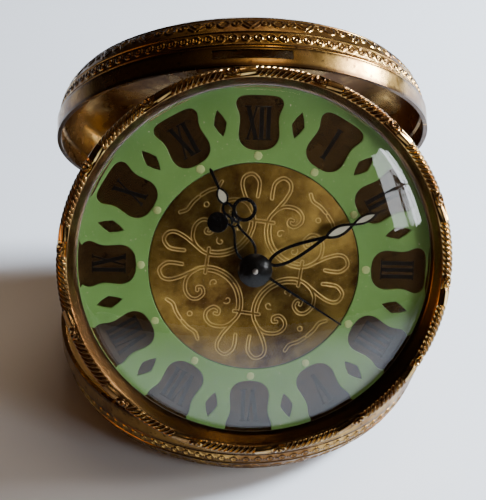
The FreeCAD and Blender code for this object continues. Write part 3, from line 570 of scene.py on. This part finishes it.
def new_shell(name, where, body, node, has_slot=False):
    outside, shoulder, crown, inside = shell_profile()
    profile = outside + shoulder + crown + inside
    steps = 1800
    angles = full_turn(steps)
    grid = turned_grid(profile, angles)
    rows = np.arange(len(outside), len(outside) + len(shoulder))
    rise = np.array([math.atan2(z - BAND_HEIGHT, r - SHOULDER_RADIUS_AT) for r, z in shoulder])
    along = np.broadcast_to(rise * SHOULDER, (steps, len(rows)))
    angle = np.broadcast_to(angles[:, None], along.shape)
    push = shoulder_relief(angle, along)[..., None] * RELIEF_HEIGHT - RELIEF_SINK
    grid[:, rows] += push * outward(angles, rise) * (rise < RELIEF_END)[None, :, None]
    faces = grid_faces(steps, len(profile), wrap_columns=True)
    if has_slot:
        faces = cut_slot(faces, grid)
    return new_piece(name, grid.reshape(-1, 3), faces, where, body, "relief_brass", [node])


def cut_slot(faces, grid):
    """Leaves out the faces of the rim's wall inside the catch slot, which is at the rim's far side."""
    points = grid.reshape(-1, 3)
    kept = []
    for face in faces:
        x, y, z = points[list(face)].mean(axis=0)
        inside = abs(x) < CATCH_SLOT_WIDTH / 2 and y < 0 and CATCH_SLOT_LOW < z < CATCH_SLOT_HIGH
        wall = math.hypot(x, y) > SHELL_RADIUS - WALL - 0.05
        if not (inside and wall):
            kept.append(face)
    return kept


# ---- bezel -------------------------------------------------------------------------------------------------

SKIRT = [(31.0, 0.05), (31.6, 0.0), (31.6, 2.4), (31.6, 4.6)]
SEAT = [(30.98, 7.3), (30.98, 4.72)]
ROPE_CENTRE = (31.75, 6.75)
ROPE_RADIUS = 1.05
ROPE_SWEEP = (-80, 140)
ROPE_POINTS = 44
ROPE_DEPTH = 0.42
LEAF_COUNT = 214
LEAF_SLANT = 1.7
LEAF_HALF_WIDTH = 0.44
MOTIFS = 14
MOTIF_RADIUS = 32
SCROLL_AT, SCROLL_HALF_LENGTH = 0.72, 1.3


def rope_relief(angle, across):
    """The rope's pattern, from 0 to 1: each motif is a run of leaves, a scroll and a worn length."""
    wave = (angle / (2 * math.pi) * LEAF_COUNT + LEAF_SLANT * across) % 1
    leaf = np.clip(1 - (np.abs(wave - 0.5) / LEAF_HALF_WIDTH) ** 2, 0, 1) ** 0.5
    sector = (angle / (2 * math.pi) * MOTIFS) % 1
    along = (sector - SCROLL_AT) / MOTIFS * 2 * math.pi * MOTIF_RADIUS
    over = across * 2.0 - 0.2
    scroll = ridge(np.abs(np.hypot(along, over) - 0.72), 0.30)
    scroll = np.maximum(scroll, ridge(np.hypot(along, over), 0.28))
    scroll = np.maximum(scroll, 0.8 * ridge(np.abs(np.abs(over) - 1.15 + 0.25 * along ** 2), 0.22))
    streaks = 0.85 + 0.15 * np.cos(over * 6 + 0.8 * along)
    return np.where(np.abs(along) < SCROLL_HALF_LENGTH, scroll, np.where(along > 0, streaks, leaf))


def new_bezel():
    """The bezel ring: a plain skirt, and a rope edge whose pattern fades out at both of its sides."""
    rope = arc_points(ROPE_CENTRE, ROPE_RADIUS, *ROPE_SWEEP, ROPE_POINTS)
    profile = SKIRT + rope + SEAT
    steps = 2400
    angles = full_turn(steps)
    grid = turned_grid(profile, angles)
    across = np.broadcast_to(np.linspace(-1, 1, ROPE_POINTS), (steps, ROPE_POINTS))
    angle = np.broadcast_to(angles[:, None], across.shape)
    fade = np.clip((across + 1) * 5, 0, 1) * np.clip((0.92 - across) * 8, 0, 1)
    push = (rope_relief(angle, across) - 1) * ROPE_DEPTH * fade
    rise = np.radians(np.linspace(*ROPE_SWEEP, ROPE_POINTS))
    grid[:, len(SKIRT):len(SKIRT) + ROPE_POINTS] += push[..., None] * outward(angles, rise)
    faces = grid_faces(steps, len(profile), wrap_columns=True)
    new_piece("bezel_ring", grid.reshape(-1, 3), faces, DRUM, "drum", "bezel_brass", ["bezel"])


def new_funnel():
    """The wall that slopes from the rope down to the crystal, with its lip; its brass is painted dark, a
    painted shade for the dark room that it mirrors.
    """
    profile = [(31.1, 7.36), (30.9, 7.38), (30.8, 7.25), (30.5, 6.75), (30.1, 6.1), (29.7, 5.4), (29.5, 5.05),
               (29.45, 4.75), (31.1, 4.7)]
    lathe("bezel_funnel", profile, 360, DRUM, "drum", "funnel_brass_painted_shade")


def arc_dome(foot_radius, foot, apex, count):
    """A shallow dome's profile, from its foot in to the centre."""
    rise = apex - foot
    radius = (foot_radius ** 2 + rise ** 2) / (2 * rise)
    radii = [foot_radius * (1 - i / count) for i in range(count)] + [POLE_RADIUS]
    return [(r, apex - radius + math.sqrt(radius ** 2 - r ** 2)) for r in radii]


def new_crystal():
    """The domed crystal with its bevelled rim, and the flange that the bezel holds."""
    rim = [(29.3, 4.9), (29.27, 5.1), (29.15, 5.3), (28.95, 5.45)]
    top = rim + arc_dome(28.7, 5.55, 9.0, 24)
    flange = [(29.3, 4.6), (30.6, 4.6), (30.6, 3.9)]
    under = arc_dome(29.3, 3.9, 8.0, 24)
    profile = top[::-1] + flange + under
    piece = lathe("crystal_dome", profile, 256, DRUM, "drum", "crystal", ["crystal"])
    piece.visible_shadow = False


# ---- dial --------------------------------------------------------------------------------------------------

HOURS = 12
DIAL_FACE = 1.8
RING_TOP = 2.3
RING_RADIUS, RING_HOLE = 30.85, 17.75
RING_BEVEL = 0.13
MARGIN_SCALE = 0.98
DOT_RING = 18.9
DOT_RISE = 0.22


def mesh_of_curve(curve_data):
    """The mesh of a curve, which is then thrown away."""
    holder = bpy.data.objects.new("holder", curve_data)
    bpy.context.collection.objects.link(holder)
    graph = bpy.context.evaluated_depsgraph_get()
    mesh = bpy.data.meshes.new_from_object(holder.evaluated_get(graph))
    bpy.data.objects.remove(holder)
    bpy.data.curves.remove(curve_data)
    return mesh


def flat_shape(name, loops, low, high, bevel, where, body, material, replaces=()):
    """A flat plate with rounded edges from closed loops of (x, y); inner loops are holes."""
    curve = bpy.data.curves.new(name, "CURVE")
    curve.dimensions, curve.fill_mode = "2D", "BOTH"
    curve.extrude = (high - low) / 2 - bevel
    curve.bevel_depth, curve.bevel_resolution = bevel, 3
    curve.offset = -bevel
    for loop in loops:
        spline = curve.splines.new("POLY")
        spline.points.add(len(loop) - 1)
        for point, (x, y) in zip(spline.points, loop):
            point.co = (x, y, 0, 1)
        spline.use_cyclic_u = True
    mesh = mesh_of_curve(curve)
    mesh.transform(where @ Matrix.Scale(MM, 4) @ Matrix.Translation((0, 0, (low + high) / 2)))
    mesh.name = name
    mesh.shade_smooth()
    mesh.set_sharp_from_angle(angle=math.radians(50))
    piece = bpy.data.objects.new(name, mesh)
    bpy.context.collection.objects.link(piece)
    finish_piece(piece, body, material, replaces)
    return piece


def circle(radius, count, centre=(0.0, 0.0)):
    angles = np.linspace(0, 2 * math.pi, count, endpoint=False)
    return [(centre[0] + radius * math.cos(a), centre[1] + radius * math.sin(a)) for a in angles]


def turned(points, degrees):
    """Points turned clockwise about the centre of the dial."""
    a = math.radians(-degrees)
    return [(x * math.cos(a) - y * math.sin(a), x * math.sin(a) + y * math.cos(a)) for x, y in points]


def window_outline():
    """A numeral window: round at its inner end, waisted, and flared with round corners at its outer end."""
    side = smooth_line([(0.0, 20.15), (1.7, 20.4), (2.85, 21.25), (3.35, 22.5), (3.3, 23.9), (3.2, 25.2),
                        (3.35, 26.3), (3.75, 27.3), (3.92, 28.1), (3.6, 28.85), (2.8, 29.25), (1.4, 29.4),
                        (0.0, 29.42)], 5)
    return side + mirrored(side[-2:0:-1])


def drawn_in(points):
    """Outlines on the chapter ring, drawn a little towards the centre for a green margin outside them."""
    return [(x, y * MARGIN_SCALE) for x, y in points]


def lozenge_outline():
    half = [(0, 23.1), (0.55, 24.0), (1.08, 25.3), (0.62, 26.6), (0, 27.7)]
    return turned(drawn_in(half + mirrored(half[-2:0:-1])), 180 / HOURS)


def new_chapter_ring():
    drum_centre = (MOVEMENT_DROP * math.sin(DIAL_TURN), MOVEMENT_DROP * math.cos(DIAL_TURN))
    loops = [circle(RING_RADIUS, 240, drum_centre), circle(RING_HOLE, 180)]
    for hour in range(HOURS):
        loops.append(turned(drawn_in(window_outline()), 360 / HOURS * hour))
        loops.append(turned(lozenge_outline(), 360 / HOURS * hour))
    flat_shape("chapter_ring_face", loops, DIAL_FACE, RING_TOP + 0.1, RING_BEVEL, FACE, "drum",
               "chapter_green", ["chapter_ring"])


def new_dots():
    """Domed spots of luminous paint, a little uneven."""
    vertices, faces = [], []
    rng = np.random.default_rng(4)
    for hour in range(HOURS):
        size = rng.uniform(0.62, 0.74)
        centre = turned([(rng.uniform(-0.1, 0.1), DOT_RING)], 360 / HOURS * hour)[0]
        start = len(vertices)
        rings, around = 6, 28
        wobble = 1 + 0.05 * rng.standard_normal(around)
        for i in range(rings):
            reach = size * math.cos(math.pi / 2 * i / rings)
            rise = DOT_RISE * math.sin(math.pi / 2 * i / rings)
            for j in range(around):
                a = 2 * math.pi * j / around
                vertices.append((centre[0] + reach * wobble[j] * math.cos(a),
                                 centre[1] + reach * wobble[j] * math.sin(a), RING_TOP + 0.08 + rise))
        vertices.append((*centre, RING_TOP + 0.08 + DOT_RISE))
        for i in range(rings - 1):
            for j in range(around):
                k = (j + 1) % around
                a, b = start + i * around, start + (i + 1) * around
                faces.append((a + j, a + k, b + k, b + j))
        last = start + (rings - 1) * around
        faces += [(last + j, last + (j + 1) % around, len(vertices) - 1) for j in range(around)]
        faces.append(tuple(start + j for j in reversed(range(around))))
    new_piece("lume_dots", vertices, faces, FACE, "drum", "lume", ["luminous_dots"])


NUMERALS = ("XII", "I", "II", "III", "IIII", "V", "VI", "VII", "VIII", "IX", "X", "XI")
NUMERAL_FOOT, NUMERAL_TOP = 21.9, 27.6
NUMERAL_WIDTH, WIDEST_LETTER = 4.8, 0.92
PRINT_FOOT, PRINT_HEIGHT, PRINT_LAYER = 0.005, 0.06, 0.002
SERIF_HEIGHT, SERIF_REACH = 0.20, 0.26
THICK, THIN = 0.36, 0.15
# Each letter's strokes as (foot x, top x, half width), and its advance.
LETTERS = {
    "I": (((0.0, 0.0, THICK),), 1.25),
    "V": (((0.05, -0.80, THICK), (0.05, 0.80, THIN)), 2.15),
    "X": (((0.80, -0.80, THICK), (-0.80, 0.80, THIN)), 2.15),
}


def serif(x, y, reach):
    return [(x - reach, y), (x + reach, y), (x + reach, y + SERIF_HEIGHT), (x - reach, y + SERIF_HEIGHT)]


def numeral_quads(text):
    """Four-cornered strokes and serifs of a numeral, centred on x = 0."""
    widths = [LETTERS[letter][1] for letter in text]
    squeeze = min(WIDEST_LETTER, NUMERAL_WIDTH / sum(widths))
    left = -sum(widths) / 2
    quads = []
    for letter, width in zip(text, widths):
        middle = left + width / 2
        for foot, top, half in LETTERS[letter][0]:
            a, b = (middle + foot) * squeeze, (middle + top) * squeeze
            h = half * squeeze
            quads.append([(a - h, NUMERAL_FOOT), (a + h, NUMERAL_FOOT),
                          (b + h, NUMERAL_TOP), (b - h, NUMERAL_TOP)])
            reach = (half + SERIF_REACH) * squeeze
            quads.append(serif(b, NUMERAL_TOP - SERIF_HEIGHT, reach))
            if letter != "V":
                quads.append(serif(a, NUMERAL_FOOT, reach))
        left += width
    return quads


def prism(outline, low, high):
    """A straight-sided plate of any outline, as (vertices, faces)."""
    count = len(outline)
    vertices = [(x, y, low) for x, y in outline] + [(x, y, high) for x, y in outline]
    faces = [tuple(reversed(range(count))), tuple(range(count, 2 * count))]
    faces += [(i, (i + 1) % count, count + (i + 1) % count, count + i) for i in range(count)]
    return vertices, faces


def new_numerals():
    """The printed numerals, with each stroke a hair higher than the last, so that no two share a plane."""
    parts = []
    for hour, text in enumerate(NUMERALS):
        for layer, quad in enumerate(numeral_quads(text)):
            corners = turned(drawn_in(quad), 360 / HOURS * hour)
            parts.append((*prism(corners, PRINT_FOOT, PRINT_HEIGHT + PRINT_LAYER * layer), DIAL_FACE))
    vertices, faces = joined_mesh(parts)
    new_piece("roman_numerals", vertices, faces, FACE, "drum", "numeral_black", ["numerals"],
              smooth=False)


# The engraving repeats four times, turned a little clockwise from the hours.
ENGRAVING_TURN = math.radians(7.0)
RIBBON_HALF_WIDTH = 0.25
LINE_HALF_WIDTH = 0.12
CUT_DEPTH = 0.05
DISC_HOLE, DISC_EDGE, DISC_TOP = 1.75, 17.45, 2.1
DISC_RIM = [(17.58, 2.08), (17.62, 2.02), (17.62, 1.85), (DISC_HOLE, 1.85)]


def engraving_strokes():
    """One quarter of the engraving, about the Y axis: ribbons drawn as two lines, and single lines."""
    hook = smooth_line([(1.2, 12.0), (1.15, 13.2), (1.35, 14.6), (2.5, 15.6), (3.75, 15.1), (4.1, 13.9),
                        (3.5, 12.2), (2.4, 10.4), (1.4, 8.8), (1.05, 7.4)])
    scroll = smooth_line([(1.6, 9.2), (2.5, 10.3), (3.8, 10.95), (5.6, 10.8), (6.7, 9.8), (6.7, 8.6),
                          (5.7, 7.75), (4.7, 8.1), (4.75, 8.85), (5.3, 8.8)], 5)
    leaf = smooth_line([(7.5, 13.6), (8.1, 12.5), (9.4, 11.8), (10.5, 10.9)], 5)
    sweep = arc_points((7.3, 7.3), 6.25, 174, 225, 14)
    ribbons = [hook, scroll, leaf, sweep]
    inner_sweep = arc_points((7.3, 7.3), 5.45, 178, 225, 12)
    comma = spiral((3.6, 6.2), 0.75, 0.8, 0.15, 0.2, count=12)
    eye = circle(0.42, 14, (9.45, 9.45))
    lines = [inner_sweep, comma, eye + eye[:1]]
    bar = [(-2.1, 7.95), (2.1, 7.95)]
    ribbons += [mirrored(stroke) for stroke in ribbons]
    lines += [mirrored(stroke) for stroke in lines]
    return ribbons + [bar], lines


def engraving_cut(angles, radii):
    """The engraving's depth, from 0 to 1, on a polar grid."""
    quarter = math.pi / 2
    folded = (np.mod(angles - ENGRAVING_TURN + quarter / 2, quarter) - quarter / 2)[:, None]
    u, v = radii[None, :] * np.sin(folded), radii[None, :] * np.cos(folded)
    ribbons, lines = engraving_strokes()
    ribbon_edge = np.abs(stroke_distance(u, v, ribbons) - RIBBON_HALF_WIDTH)
    line = stroke_distance(u, v, lines)
    return np.maximum(ridge(ribbon_edge, LINE_HALF_WIDTH), ridge(line, LINE_HALF_WIDTH))


def new_centre_disc():
    """The gilt centre disc, with its engraving cut into a fine polar grid."""
    steps, rings = ((1320, 200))
    radii = np.linspace(DISC_HOLE, DISC_EDGE, rings)
    profile = [(radius, DISC_TOP) for radius in radii] + DISC_RIM
    columns = len(profile)
    angles = full_turn(steps)
    grid = turned_grid(profile, angles)
    cut = np.zeros((steps, columns))
    cut[:, :rings] = engraving_cut(angles, radii)
    grid[..., 2] -= CUT_DEPTH * cut
    faces = grid_faces(steps, columns, wrap_columns=True)
    piece = new_piece("engraved_disc", grid.reshape(-1, 3), faces, FACE, "drum", "disc_gold",
                      ["centre_disc"])
    ways = np.stack([np.sin(angles), np.cos(angles), np.zeros(steps)], axis=1) @ np.array(FACE.to_3x3()).T
    rays = piece.data.attributes.new("ray_way", "FLOAT_VECTOR", "POINT")
    rays.data.foreach_set("vector", np.repeat(ways, columns, axis=0).astype(np.float32).ravel())
    add_values(piece, "dial_angle", np.repeat(angles * 60, columns))
    # The engraving's depth also masks the painted highlight on its lines in the disc's material.
    add_values(piece, "engraved", cut.ravel())


def add_values(piece, name, values):
    attribute = piece.data.attributes.new(name, "FLOAT", "POINT")
    attribute.data.foreach_set("value", np.asarray(values, dtype=np.float32))


# ---- hands -------------------------------------------------------------------------------------------------

HAND_TURNS = {"hour": 23.4, "minute": -65.0, "alarm": -124.0}


def wire(points, width, closed=False, thick=0.16):
    """A flat-sided strip that follows points (x, y), as (vertices, faces) about z = 0; width may vary."""
    p = np.array(points, float)
    count = len(p)
    widths = np.broadcast_to(np.asarray(width, float), (count,))
    if closed:
        tangent = np.roll(p, -1, axis=0) - np.roll(p, 1, axis=0)
    else:
        tangent = np.gradient(p, axis=0)
    tangent /= np.maximum(np.linalg.norm(tangent, axis=1, keepdims=True), 1e-9)
    side = np.stack([-tangent[:, 1], tangent[:, 0]], axis=1)
    section = [(-1, -0.6), (-0.6, -1), (0.6, -1), (1, -0.6), (1, 0.5), (0.55, 1), (-0.55, 1), (-1, 0.5)]
    vertices = []
    for i in range(count):
        for across, up in section:
            x, y = p[i] + side[i] * across * widths[i] / 2
            vertices.append((x, y, up * thick / 2))
    faces = grid_faces(count, len(section), wrap_rows=closed, wrap_columns=True)
    if not closed:
        last = (count - 1) * len(section)
        faces.append(tuple(range(len(section))))
        faces.append(tuple(last + k for k in reversed(range(len(section)))))
    return vertices, faces


def puck(centre, radius, thick, count=40):
    """A disc with a softened top edge."""
    rows = [(radius, -thick / 2), (radius, thick * 0.25), (radius * 0.93, thick / 2)]
    vertices = [(x, y, z) for r, z in rows for x, y in circle(r, count, centre)]
    faces = grid_faces(3, count, wrap_rows=False, wrap_columns=True)
    faces.append(tuple(2 * count + j for j in range(count)))
    faces.append(tuple(reversed(range(count))))
    return vertices, faces


def joined_mesh(parts):
    """Joins (vertices, faces, height) parts into one."""
    vertices, faces = [], []
    for part_vertices, part_faces, height in parts:
        start = len(vertices)
        vertices += [(x, y, z + height) for x, y, z in part_vertices]
        faces += [tuple(start + k for k in face) for face in part_faces]
    return vertices, faces


def hand(name, parts, body, replaces):
    place = DIAL @ Matrix.Rotation(math.radians(HAND_TURNS[name]), 4, "Z")
    vertices, faces = joined_mesh(parts)
    new_piece(f"{name}_hand_shape", vertices, faces, place, body, "hand_black", replaces)
    return place


def lume_inlay(name, outline, height, place, body):
    """Luminous paint that fills a gap in a hand."""
    vertices, faces = prism(outline, height - 0.05, height + 0.03)
    new_piece(name, vertices, faces, place, body, "lume_pale", smooth=False)


def lens(low, high, half, count=12):
    """The outline of a pointed lozenge with bowed sides."""
    steps = [i / count for i in range(count + 1)]
    side = [(half * math.sin(math.pi * t) ** 0.8, low + (high - low) * t) for t in steps]
    return side + mirrored(side[-2:0:-1])


HOUR_LEVEL, MINUTE_LEVEL, ALARM_LEVEL = 3.87, 4.57, 3.17


def new_hour_hand():
    strand = smooth_line([(0.7, 1.6), (1.5, 3.2), (1.45, 4.8), (0.8, 6.6), (0.5, 7.9), (0.95, 8.9)], 5)
    curl = smooth_line([(0.35, 8.6), (0.2, 9.7), (0.8, 10.9), (0.6, 11.8), (0.0, 12.4)], 5)
    spear = lens(12.0, 15.0, 0.80)
    parts = [(*wire(line, 0.42), HOUR_LEVEL) for line in (strand, mirrored(strand), curl, mirrored(curl))]
    parts.append((*wire(circle(1.75, 40, (2.45, 10.0)), 0.62, closed=True, thick=0.2), HOUR_LEVEL))
    parts.append((*puck((-2.45, 9.8), 1.75, 0.2, 44), HOUR_LEVEL))
    parts.append((*wire(circle(0.5, 20, (0, 8.5)), 0.3, closed=True), HOUR_LEVEL))
    parts.append((*wire(spear, 0.32, closed=True), HOUR_LEVEL))
    parts.append((*wire([(0, 14.8), (0, 16.6), (0, 18.2), (0, 18.6)], [0.45, 0.50, 0.55, 0.2]), HOUR_LEVEL))
    parts.append((*puck((0, 0), 2.45, 0.22, 64), HOUR_LEVEL))
    place = hand("hour", parts, "hour_works", ["hour_hand"])
    lume_inlay("hour_hand_lume", lens(12.2, 14.8, 0.7), HOUR_LEVEL, place, "hour_works")


def crossing_strand(low, high, half, lean=1.0, count=16):
    """One bowed side of a loop; lean below 1 puts its widest place nearer the low end."""
    return [(half * math.sin(math.pi * (i / count) ** lean), low + (high - low) * i / count)
            for i in range(count + 1)]


def new_minute_hand():
    parts = []
    loops = ((2.6, 13.0, 1.15, 0.6, 0.56), (13.0, 18.0, 0.78, 0.9, 0.48), (18.0, 22.4, 0.62, 1.0, 0.38))
    for low, high, half, lean, width in loops:
        strand = crossing_strand(low, high, half, lean)
        parts += [(*wire(strand, width), MINUTE_LEVEL), (*wire(mirrored(strand), width), MINUTE_LEVEL + 0.02)]
    for height in (13.0, 18.0):
        knot = [(-0.35, height - 0.5), (0, height), (0.35, height + 0.5)]
        parts.append((*wire(knot, [0.2, 0.5, 0.2]), MINUTE_LEVEL))
    parts.append((*wire([(0, 22.2), (0, 23.4), (0, 24.5)], [0.4, 0.3, 0.14]), MINUTE_LEVEL))
    parts.append((*wire([(0, 0.8), (0, 2.4)], [1.6, 0.7]), MINUTE_LEVEL))
    parts.append((*puck((0, 0), 1.9, 0.22, 56), MINUTE_LEVEL))
    place = hand("minute", parts, "minute_works", ["minute_hand"])
    lume_inlay("minute_hand_lume", lens(13.5, 17.5, 0.62), MINUTE_LEVEL, place, "minute_works")
    lume_inlay("minute_hand_tip_lume", lens(18.5, 21.9, 0.52), MINUTE_LEVEL, place, "minute_works")


def new_alarm_hand():
    parts = [(*wire([(0, 1.0), (0, 9.0), (0, 17.75)], [0.46, 0.42, 0.30], thick=0.2), ALARM_LEVEL)]
    parts.append((*puck((0, 0), 2.3, 0.2, 56), ALARM_LEVEL))
    hand("alarm", parts, "alarm_works", ["alarm_hand"])


def new_hand_boss():
    """The black domed nut over the hands and the bright end of the arbor in it."""
    dome = [(0.5, 5.50)] + arc_points((0, -0.78), 6.25, 83, 64, 8) + [(2.88, 4.74), (2.80, 4.71), (0.5, 4.71)]
    lathe("hand_nut", dome, 72, DIAL, "minute_works", "hand_black", ["hand_boss"])
    tip = [(POLE_RADIUS, 6.09), (0.25, 6.07), (0.40, 5.99), (0.44, 5.83), (0.44, 5.0), (POLE_RADIUS, 5.0)]
    lathe("arbor_tip", tip, 40, DIAL, "minute_works", "hinge_steel")


# ---- assembly ----------------------------------------------------------------------------------------------

FLOOR_REACH = 3.0


def make_floor():
    corners = [(x * FLOOR_REACH, y * FLOOR_REACH, 0) for x, y in ((-1, -1), (1, -1), (1, 1), (-1, 1))]
    mesh = bpy.data.meshes.new("floor")
    mesh.from_pydata(corners, [], [(0, 1, 2, 3)])
    floor = bpy.data.objects.new("floor", mesh)
    bpy.context.collection.objects.link(floor)
    m = Nodes("floor")
    m.set(Base_Color=m.mix(m.noise(9, 4, 0.6), (0.71, 0.75, 0.83), (0.77, 0.80, 0.86)), Roughness=0.55)
    floor.data.materials.append(m.material)


def dress_frame():
    """Gives every CAD node the material of its slot."""
    slots = {part["node"]: part["material_slot"] for part in frame["record"]["subparts"]}
    for node, piece in frame["nodes"].items():
        piece.data.materials.clear()
        piece.data.materials.append(MATERIALS[slots[node]])


make_camera()
make_lights()
make_window()
make_room()
make_floor()
dress_frame()
new_shell("base_lid", BASE, "base", "base_shell")
new_shell("cover_lid", COVER, "cover", "cover_shell", has_slot=True)
new_bezel()
new_funnel()
new_crystal()
new_chapter_ring()
new_dots()
new_numerals()
new_centre_disc()
new_alarm_hand()
new_hour_hand()
new_minute_hand()
new_hand_boss()
